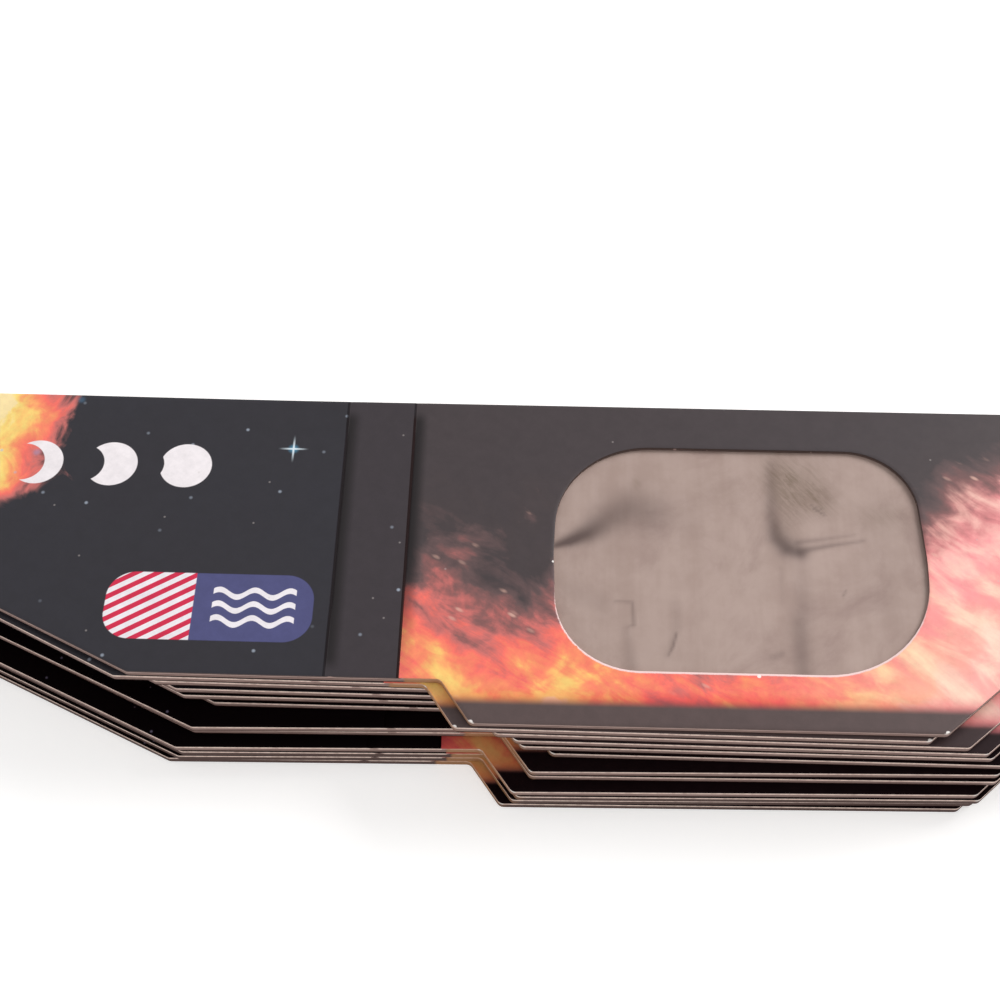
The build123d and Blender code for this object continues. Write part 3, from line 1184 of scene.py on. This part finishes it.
def makeFilm(node, dents, smears, seed):
    look = filmLook
    low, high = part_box(node)
    middle = (low + high) / 2
    deselectAll()
    bpy.ops.mesh.primitive_grid_add(x_subdivisions=look["across"], y_subdivisions=look["down"], size=1,
                                    location=(middle.x, middle.y, high.z - look["sink"]))
    film = bpy.context.active_object
    film.name = node + "_dented"
    film.scale = (high.x - low.x, high.y - low.y, 1)
    bpy.ops.object.transform_apply(location=True, rotation=True, scale=True)
    paintedShadeLayer = film.data.attributes.new("paintedShade", "FLOAT", "POINT")
    smearLayer = film.data.attributes.new("smear", "FLOAT", "POINT")
    freeX, freeY = look["free"]
    for vertex in film.data.vertices:
        spot = (vertex.co.xy - middle.xy) * 1000
        loose = clamped(min(freeX - abs(spot.x), freeY - abs(spot.y)) / look["freeEdge"])
        depth, paintedShade = dentAt(spot, dents)
        slack = 0.05 * noise.noise(Vector((spot.x * 0.11, spot.y * 0.16, seed)))
        slack += 0.012 * noise.noise(Vector((spot.x * 0.55, spot.y * 0.35, 9.0)))
        vertex.co.z += (depth + slack) * mm * loose
        paintedShadeLayer.data[vertex.index].value = min(look["darkest"], paintedShade)
        smearLayer.data[vertex.index].value = smearAt(spot, smears)
    thick = film.modifiers.new("thickness", "SOLIDIFY")
    thick.thickness = look["thickness"]
    thick.offset = -1
    bpy.ops.object.modifier_apply(modifier="thickness")
    film.data.materials.append(filmMaterial)
    bpy.ops.object.shade_smooth_by_angle(angle=math.radians(50))
    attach(film, "top_front")
    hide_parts(node)


makeFilm("top_left_film", filmLook["dents"], filmLook["smears"], 0.0)
rightDents = [[acrossNose(*point) for point in path] for path in filmLook["dents"]]
rightSmears = [acrossNose(*smear) for smear in filmLook["smears"]]
makeFilm("top_right_film", rightDents, rightSmears, 4.0)
for name, node in nodes.items():
    if name.startswith("pair_") and name.endswith("_film"):
        node.data.materials.clear()
        node.data.materials.append(filmMaterial)
print("films dented")


# floor, light and camera

stageLook = {
    "skyLight": 0.58,
    "lampAim": (-0.06, 0.005, 0.006),
    # place, size and power of each lamp
    "lamps": {"windowLight": ((0.50, 0.40, 0.46), 0.40, 5.0), "softFill": ((0.30, -0.55, 0.50), 0.7, 0.6)},
    "floorColour": (0.80, 0.79, 0.78, 1),
    "floorGlow": 0.45,
    "floorDrop": 0.02 * mm,
}


def seenDirectly(tree):
    path = tree.nodes.new("ShaderNodeLightPath")
    return largest(tree, *[path.outputs[f"Is {kind} Ray"] for kind in ("Camera", "Glossy", "Transmission")])


def makeFloor():
    bpy.ops.mesh.primitive_plane_add(size=6, location=(0, 0, -stageLook["floorDrop"]))
    floor = bpy.context.active_object
    floor.name = "paleFloor"
    made, tree, shader = newMaterial("paleFloor", Roughness=0.9)
    shader.inputs["Base Color"].default_value = stageLook["floorColour"]
    glow = tree.nodes.new("ShaderNodeEmission")
    glow.inputs["Color"].default_value = (1, 1, 1, 1)
    mixed = tree.nodes.new("ShaderNodeAddShader")
    strength = times(tree, seenDirectly(tree), stageLook["floorGlow"])
    tree.links.new(strength, glow.inputs["Strength"])
    tree.links.new(shader.outputs[0], mixed.inputs[0])
    tree.links.new(glow.outputs[0], mixed.inputs[1])
    tree.links.new(mixed.outputs[0], tree.nodes["Material Output"].inputs["Surface"])
    floor.data.materials.append(made)


def makeSky():
    world = bpy.data.worlds.new("studio")
    bpy.context.scene.world = world
    world.use_nodes = True
    tree = world.node_tree
    background = tree.nodes["Background"]
    background.inputs["Color"].default_value = (1, 1, 1, 1)
    dim = stageLook["skyLight"]
    strength = calc(tree, "MULTIPLY_ADD", seenDirectly(tree), 1 - dim, dim)
    tree.links.new(strength, background.inputs["Strength"])


def makeLamp(name, place, size, power):
    bpy.ops.object.light_add(type="AREA", location=place)
    lamp = bpy.context.active_object
    lamp.name = name
    lamp.data.size = size
    lamp.data.energy = power
    aim = Vector(stageLook["lampAim"]) - Vector(place)
    lamp.rotation_euler = aim.to_track_quat("-Z", "Y").to_euler()


cameraLook = {
    "elevation": 56.83,
    "azimuth": 2.10,
    "roll": -0.56,
    "distance": 177.7 * mm,
    "target": (-60.663 * mm, 9.407 * mm, 11.84 * mm),
    "lens": 61.236,
}


def makeCamera():
    look = cameraLook
    e, a, r = (math.radians(look[k]) for k in ("elevation", "azimuth", "roll"))
    forward = Vector((-math.sin(a) * math.cos(e), math.cos(a) * math.cos(e), -math.sin(e)))
    right = Vector((math.cos(a), math.sin(a), 0))
    up = right.cross(forward)
    rolledRight = right * math.cos(r) + up * math.sin(r)
    rolledUp = up * math.cos(r) - right * math.sin(r)
    data = bpy.data.cameras.new("photoView")
    data.lens = look["lens"]
    data.sensor_width = 36
    data.clip_start = 0.005
    camera = bpy.data.objects.new("photoView", data)
    bpy.context.scene.collection.objects.link(camera)
    turn = Matrix((rolledRight, rolledUp, -forward)).transposed().to_4x4()
    place = Vector(look["target"]) - forward * look["distance"]
    camera.matrix_world = Matrix.Translation(place) @ turn
    bpy.context.scene.camera = camera


makeFloor()
makeSky()
for name, values in stageLook["lamps"].items():
    makeLamp(name, *values)
makeCamera()
bpy.context.scene.view_settings.view_transform = "Standard"
print("stage set")
